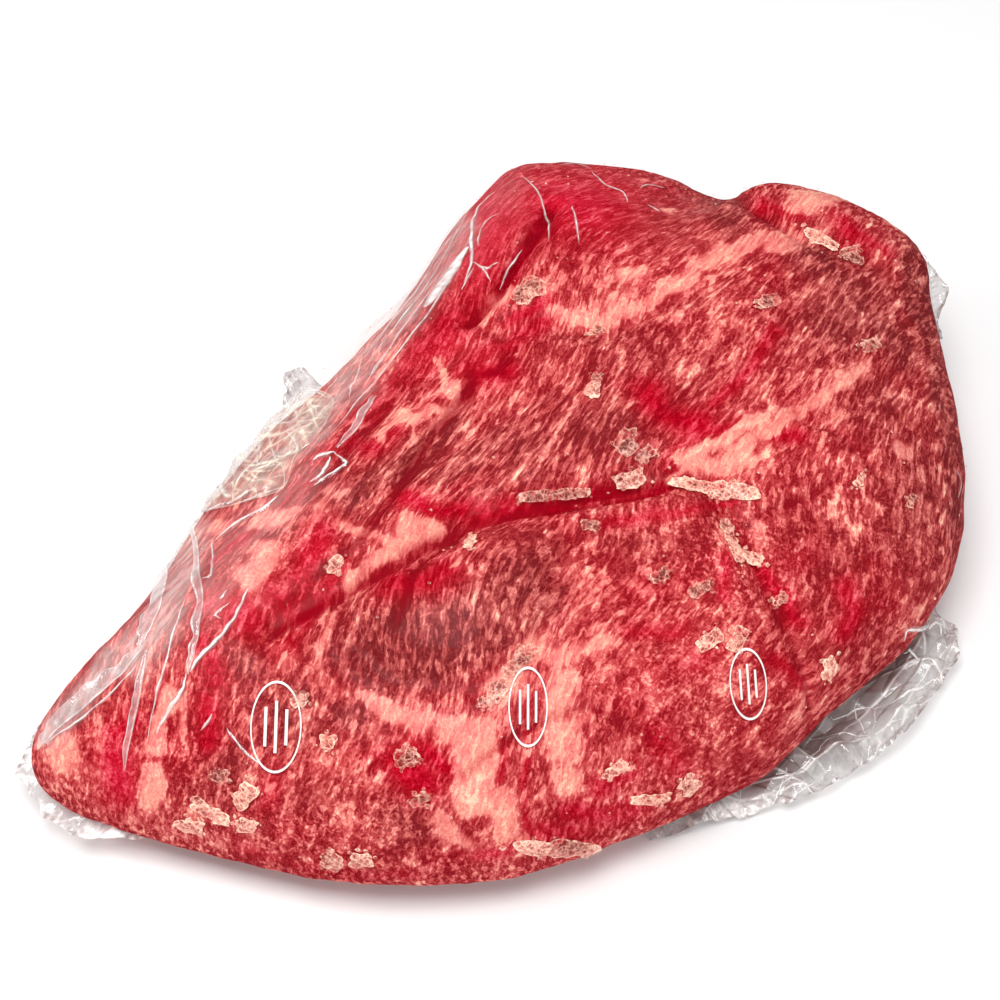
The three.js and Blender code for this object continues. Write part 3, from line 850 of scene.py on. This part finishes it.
WELTS_IN_PHOTO = [  # kind, then x and y of each point in pixels
    ("fold", 494, 193, 480, 206, 473, 225, 472, 245, 472, 262, 464, 286),
    ("line", 470, 240, 446, 286, 406, 342, 366, 392, 340, 424),
    ("line", 474, 204, 444, 256, 410, 308, 376, 352), ("line", 466, 208, 434, 262, 398, 314, 366, 356),
    ("line", 456, 256, 424, 300, 392, 344, 372, 376), ("gleam", 424, 307, 438, 290, 452, 270, 468, 247),
    ("line", 473, 262, 484, 270, 490, 282), ("line", 474, 268, 468, 278, 462, 290),
    ("line", 478, 266, 488, 268, 497, 262), ("line", 500, 213, 488, 220, 480, 232, 478, 246),
    ("line", 522, 176, 537, 191, 545, 214, 549, 226, 549, 242), ("line", 500, 290, 508, 270, 522, 250),
    ("line", 572, 206, 576, 222, 579, 244), ("line", 592, 172, 604, 184, 622, 192, 628, 202),
    ("line", 560, 165, 576, 164, 590, 168), ("line", 640, 188, 648, 185, 664, 188),
    ("line", 648, 205, 660, 212), ("line", 286, 398, 300, 391, 318, 392, 330, 398),
    ("line", 273, 416, 288, 410, 303, 404), ("line", 262, 426, 258, 445, 257, 462, 272, 466),
    ("line", 268, 424, 272, 450, 280, 466), ("fold", 286, 431, 294, 440, 297, 448, 286, 454, 274, 456),
    ("line", 268, 456, 262, 462, 278, 462, 284, 472, 284, 486),
    ("fold", 220, 466, 222, 480, 225, 494, 238, 492), ("line", 248, 486, 256, 474, 268, 466, 280, 464),
    ("line", 308, 412, 314, 404, 316, 418), ("line", 306, 428, 318, 414, 328, 404),
    ("fold", 206, 512, 228, 502, 244, 492, 256, 486), ("line", 232, 505, 252, 497, 266, 492, 284, 487),
    ("fold", 216, 540, 233, 526, 263, 509, 278, 496), ("line", 362, 356, 358, 374, 352, 386, 349, 398),
    ("line", 369, 380, 376, 366, 386, 358), ("roll", 376, 396, 364, 410, 354, 428, 337, 448),
    ("fold", 334, 452, 346, 462, 340, 469, 324, 479, 314, 486),
    ("fold", 330, 457, 326, 468, 318, 477, 310, 482), ("fold", 313, 460, 322, 455, 334, 452),
    ("roll", 190, 513, 196, 545, 199, 589, 196, 625, 192, 652, 187, 674),
    ("band", 181, 522, 168, 556, 158, 594, 146, 625, 138, 645),
    ("band", 142, 645, 112, 674, 80, 701, 52, 726, 38, 748),
    ("line", 42, 746, 64, 730, 87, 714, 114, 690, 136, 665),
    ("roll", 146, 650, 138, 690, 132, 719, 124, 770),
    ("line", 185, 598, 176, 625, 165, 665, 156, 696, 147, 743),
    ("line", 212, 542, 213, 560, 211, 574, 201, 579),
    ("fold", 248, 589, 237, 612, 219, 638, 199, 658, 190, 672),
    ("fold", 186, 674, 181, 692, 167, 714, 156, 734), ("line", 227, 590, 220, 599),
    ("line", 230, 602, 216, 614, 221, 619), ("line", 212, 714, 208, 722, 201, 730),
    ("line", 227, 728, 243, 750, 259, 763), ("line", 956, 470, 961, 482, 958, 498),
    ("line", 810, 740, 843, 733, 877, 733, 907, 737), ("line", 818, 728, 847, 715, 867, 708, 890, 705),
    ("fold", 903, 653, 923, 660, 937, 668, 943, 682, 938, 703),
    ("fold", 957, 661, 947, 680, 930, 713, 907, 740), ("fold", 890, 705, 907, 693, 923, 687, 937, 677),
    ("line", 857, 773, 870, 762, 883, 753), ("line", 790, 797, 807, 787, 817, 780),
    ("line", 720, 814, 743, 808, 773, 803, 797, 802), ("fold", 903, 641, 912, 629, 936, 622, 942, 636),
    ("line", 770, 792, 802, 768, 838, 736), ("line", 640, 842, 690, 828, 742, 806),
]
WELT_STEP = 1.2 * MM
WELT_ABOVE_FILM = 0.12  # millimetres
WELT_TIP = 0.02  # share of its length from which a welt tapers no further
MILK_LUMPS = 400  # per metre


def welt(kind, line, seed, surface):
    """A welt of doubled film along a line on a surface, with the section of its kind."""
    half_width, height, uneven, section = WELTS[kind]
    ends = [seen(pixel, surface)[0] for pixel in line]
    steps = max(4, int(sum((b - a).length for a, b in zip(ends, ends[1:])) / WELT_STEP))
    way = on_curve(ends, np.linspace(0, 1, steps), closed=False)
    strip, across, along = flat_sheet(len(section), steps)
    laid = []
    haze = []
    shade = []
    for share_across, share_along in zip(across, along):
        step = round(share_along * (steps - 1))
        offset, lift, milk, grey = section[round(share_across * (len(section) - 1))]
        taper = sin(pi * min(max(share_along, WELT_TIP), 1 - WELT_TIP)) ** 0.5
        wobble = uneven * noise.noise(Vector((share_along * len(line) * 1.6, seed, 0)))
        ahead = Vector(way[min(step + 1, steps - 1)] - way[max(step - 1, 0)]).normalized()
        base, up, _, _ = surface.find_nearest(Vector(way[step]))
        width = (offset * taper * (1 + 0.6 * wobble) + 0.7 * wobble) * half_width * MM
        base, up, _, _ = surface.find_nearest(base + ahead.cross(up).normalized() * width)
        laid.append(base + up * ((lift * height * (0.8 + 0.6 * wobble) * taper + WELT_ABOVE_FILM) * MM))
        haze.append(milk * (0.85 + 0.5 * noise.noise(Vector(base) * MILK_LUMPS)))
        shade.append(grey)
    laid = np.array(laid)
    laid[:, 2] = np.maximum(laid[:, 2], 0)
    move_points(strip, laid)
    add_value(strip, "haze", np.clip(haze, 0, 1))
    add_value(strip, "shade", shade)
    return strip


def joined(meshes):
    """One mesh of several, with their attributes kept."""
    whole = bmesh.new()
    for mesh in meshes:
        whole.from_mesh(mesh)
    return mesh_from(whole)


wrapped = cover([film, bunch] + folds)
welts = [welt(kind, points_of(line), seed, wrapped) for seed, (kind, *line) in enumerate(WELTS_IN_PHOTO)]
welts = new_piece("film_welts", joined(welts))
welts.data.materials.append(loose_film)

# Air pockets: froth of air and juice that the vacuum left between the beef and the film. Each is a
# flat blister that follows the film, with bubbles in it and round it, and specks lie all over.
POCKETS_IN_PHOTO = [  # x, y, half length, half width in pixels and turn in degrees
    (530, 290, 17, 10, 20), (625, 440, 14, 10, 70), (645, 455, 10, 6, 40), (595, 385, 12, 6, 80),
    (770, 300, 10, 6, 20), (555, 495, 36, 6, 4), (630, 480, 16, 8, 20), (716, 489, 46, 8, -8),
    (732, 540, 24, 5, -70), (748, 556, 16, 5, -20), (520, 660, 22, 8, 45), (500, 688, 14, 8, 35),
    (490, 700, 12, 6, 20), (710, 640, 14, 7, 30), (738, 640, 12, 7, 60), (300, 700, 9, 6, 20),
    (328, 742, 8, 7, 0), (210, 812, 22, 7, -28), (190, 826, 12, 7, -20), (245, 795, 13, 10, 50),
    (246, 826, 10, 7, 0), (405, 757, 12, 11, 0), (420, 800, 10, 6, 30), (360, 860, 12, 8, 0),
    (332, 862, 9, 9, 0), (650, 800, 20, 5, 5), (690, 785, 10, 9, 40), (615, 770, 14, 6, 30),
    (830, 670, 12, 7, 70), (895, 675, 14, 8, -10), (660, 575, 9, 6, 20), (590, 525, 8, 5, 0),
    (850, 255, 8, 9, 0), (822, 240, 20, 6, -30), (870, 345, 9, 6, 20), (335, 565, 10, 6, 50),
    (220, 776, 9, 6, 0), (596, 330, 8, 5, 30), (560, 850, 40, 8, 2), (470, 540, 7, 4, 60),
    (780, 600, 8, 5, 20), (700, 590, 12, 6, 30), (860, 480, 8, 4, 60), (912, 500, 7, 4, 70),
]
SPECKS = 420  # tiny bubbles scattered over the whole roll
SPECKS_ABOVE = 0.012  # metres above the ground
BUBBLES = 5  # small bubbles round each pocket
SPECK_SIZE = (0.25, 0.7)  # millimetres
BUBBLE_SIZE = (0.5, 1.2)
FROTH_SIZE = (0.35, 0.8)  # bubbles inside a pocket, in shares of its half width
POCKET_HEIGHT = 0.7  # millimetres
BUBBLE_HEIGHT = 0.4
BLISTER_ABOVE_FILM = 0.05
BLISTER_FOOT = -0.2  # where its underside lies, in shares of its height
BLISTER_LUMPS = 500  # per metre
POCKET_SIDES = (48, 16)  # faces round it, and from its top to its foot
BUBBLE_SIDES = (14, 6)
SPECK_SIDES = (8, 4)


def blister(middle, ahead, aside, height, sides):
    """A flat blister on the film: a domed patch with blunt ends and a slightly uneven outline."""
    ball = bmesh.new()
    bmesh.ops.create_uvsphere(ball, u_segments=sides[0], v_segments=sides[1], radius=1)
    ball = mesh_from(ball)
    laid = []
    rim = []
    for point_x, point_y, point_z in places(ball):
        share = min(1, (point_x**2 + point_y**2) ** 0.5)
        round_it = atan2(point_y, point_x)
        way_x, way_y = cos(round_it), sin(round_it)
        out = (ahead * way_x + aside * way_y) / (way_x**4 + way_y**4) ** 0.25
        outline = (middle + out) * (0.9 / aside.length)
        uneven = (0.6 * noise.noise(outline) + 0.3 * noise.noise(outline * 2.3)) * aside.length / out.length
        base, up, _, _ = tight.find_nearest(middle + out * share * (1 + uneven))
        lumps_here = 0.6 * noise.noise(base * BLISTER_LUMPS)
        rise = (1 - share**4) * (1 + lumps_here) if point_z > 0 else BLISTER_FOOT
        laid.append(base + up * (height * rise + BLISTER_ABOVE_FILM) * MM)
        rim.append(share**7)
    move_points(ball, np.array(laid))
    add_value(ball, "rim", rim)
    return ball


draw = np.random.default_rng(7)
blisters = []


def bubble(place, radius, sides):
    """A small round blister at a place on the film."""
    place, up, _, _ = tight.find_nearest(place)
    ahead = up.orthogonal().normalized() * radius
    blisters.append(blister(place, ahead, up.cross(ahead), BUBBLE_HEIGHT, sides))


for pixel_x, pixel_y, half_length, half_width, turn in POCKETS_IN_PHOTO:
    middle = seen((pixel_x, pixel_y), tight)[0]
    angle = radians(turn)
    end = seen((pixel_x + half_length * cos(angle), pixel_y - half_length * sin(angle)), tight)[0]
    side = seen((pixel_x - half_width * sin(angle), pixel_y - half_width * cos(angle)), tight)[0]
    ahead, aside = end - middle, side - middle
    blisters.append(blister(middle, ahead, aside, POCKET_HEIGHT, POCKET_SIDES))
    for _ in range(round(3 * half_length / half_width)):
        along, across = draw.uniform(-0.8, 0.8), draw.uniform(-0.6, 0.6)
        radius = draw.uniform(*FROTH_SIZE) * aside.length
        bubble(middle + ahead * along + aside * across, radius, BUBBLE_SIDES)
    for _ in range(BUBBLES):
        round_it = draw.uniform(0, 2 * pi)
        away = draw.uniform(1.1, 1.6)
        place = middle + away * (ahead * cos(round_it) + aside * sin(round_it))
        bubble(place, draw.uniform(*BUBBLE_SIZE) * MM, SPECK_SIDES)
for _ in range(SPECKS):
    vertex = film.data.vertices[draw.integers(len(film.data.vertices))]
    if vertex.co.z > SPECKS_ABOVE:
        bubble(vertex.co, draw.uniform(*SPECK_SIZE) * MM, SPECK_SIDES)
pockets = new_piece("air_pockets", joined(blisters))
pocket_material, start, ending = new_material("froth")
here = start.node("TexCoord", {}, {}, output=3)
cloud = here.noise(0.003)
edging = start.value_of("rim")
cells = here.shifted(here.noise(0.003, detail=1.0, output=1), 0.003).cracks(0.0024)
walls = 1 - cells.fade(0.02, 0.15)
full = here.noise(0.03, detail=0.0).fade(0.38, 0.62)
pale = (edging * 0.7 + walls * 0.5 + (cloud - 0.5) * 1.6 + (full - 0.5) * 0.3).within()
froth_colour = pale.mix(linear(222, 92, 86), linear(255, 222, 198))
clear = start.node("BsdfTransparent", {}, {})
froth = (0.04 + pale * (0.46 + full * 0.2)).within()
# Painted light: the froth glows with its own colour, so that it stays pale where its domes lie in shade.
finish_with(froth.shade(clear, froth_colour.painted_glow_surface(roughness=0.2, glow=0.32)), ending)
pockets.data.materials.append(pocket_material)

# The print: three oval marks in white ink on the outside of the film, each round three plain bars.
# The ink is a thin flat layer, bent over the film with every point laid on it.
OVALS_IN_PHOTO = [  # x, y, half width, half height in pixels and tilt in degrees
    (276, 727, 25, 45, 2), (528, 707, 19, 39, 0), (748, 684, 18, 35, -4),
]
INK_WIDTH = 2.0  # pixels
INK_LIFT = 0.25 * MM
OVAL_STEPS = 96
BARS = [(-0.42, 0.44), (0.0, 0.58), (0.42, 0.4)]  # place and half length, in shares of the oval's
BAR_WIDTH = 0.06
BAR_STEPS = 12


def on_oval(oval, across, along):
    """A place on the film, in shares of the oval's half width and half height."""
    pixel_x, pixel_y, half_width, half_height, tilt = oval
    offset_x, offset_y = across * half_width, along * half_height
    angle = radians(tilt)
    turned_x = offset_x * cos(angle) - offset_y * sin(angle)
    turned_y = offset_x * sin(angle) + offset_y * cos(angle)
    return seen((pixel_x + turned_x, pixel_y + turned_y), tight, INK_LIFT)[0]


def inked(mesh, oval, shape):
    """Lays a flat mesh on the film inside an oval, by a formula for the place of each of its points."""
    move_points(mesh, np.array([on_oval(oval, *shape(*row[:2])) for row in places(mesh)]))
    return mesh


marks = []
for oval in OVALS_IN_PHOTO:
    ring = bmesh.new()
    bmesh.ops.create_circle(ring, segments=OVAL_STEPS, radius=1 - INK_WIDTH / (oval[2] + oval[3]))
    inner = list(ring.edges)
    outer = bmesh.ops.extrude_edge_only(ring, edges=inner)["geom"]
    outer = [part for part in outer if isinstance(part, bmesh.types.BMVert)]
    bmesh.ops.scale(ring, vec=(1 + 2 * INK_WIDTH / (oval[2] + oval[3]),) * 3, verts=outer)
    marks.append(inked(mesh_from(ring), oval, lambda wide, high: (wide, high)))
    for column, length in BARS:
        bar, _, _ = flat_sheet(2, BAR_STEPS)
        marks.append(inked(bar, oval, lambda wide, high: (column + wide * BAR_WIDTH, high * length)))
ink = new_piece("print", joined(marks))
ink_material, start, ending = new_material("white_ink")
ink_values = {"Base Color": linear(248, 240, 236), "Roughness": 0.5}
finish_with(start.node("BsdfPrincipled", {}, ink_values), ending)
ink.data.materials.append(ink_material)

# The ground and the light: a plain white floor under three wide soft lamps, from overhead, from
# the left and from the front right, with even light from all round.
FLOOR_SIZE = 6  # metres
FLOOR_COLOUR = (0.8, 0.8, 0.8, 1)
WORLD_LIGHT = 0.52
floor = bmesh.new()
bmesh.ops.create_grid(floor, x_segments=1, y_segments=1, size=FLOOR_SIZE)
floor = bpy.data.objects.new("floor", mesh_from(floor))
bpy.context.scene.collection.objects.link(floor)
floor_material, start, ending = new_material("white_floor")
finish_with(start.node("BsdfDiffuse", {}, {"Color": FLOOR_COLOUR}), ending)
floor.data.materials.append(floor_material)

LAMPS = [  # place, size, power
    ((-0.12, -0.4, 1.75), 0.9, 26.5), ((-1.5, 0.1, 0.9), 0.5, 7), ((0.6, -1.5, 1.2), 1.6, 8.5),
]
for number, (place, size, power) in enumerate(LAMPS):
    lamp = bpy.data.lights.new(f"lamp_{number}", "AREA")
    lamp.size = size
    lamp.energy = power
    lamp = bpy.data.objects.new(lamp.name, lamp)
    lamp.location = place
    lamp.rotation_euler = (Vector(place) - CAMERA_AIM).to_track_quat("Z", "Y").to_euler()
    bpy.context.scene.collection.objects.link(lamp)
world = bpy.data.worlds.new("studio")
world.use_nodes = True
world.node_tree.nodes["Background"].inputs["Color"].default_value = (1, 1, 1, 1)
world.node_tree.nodes["Background"].inputs["Strength"].default_value = WORLD_LIGHT
bpy.context.scene.world = world
bpy.context.scene.view_settings.view_transform = "Standard"

bpy.context.view_layer.update()
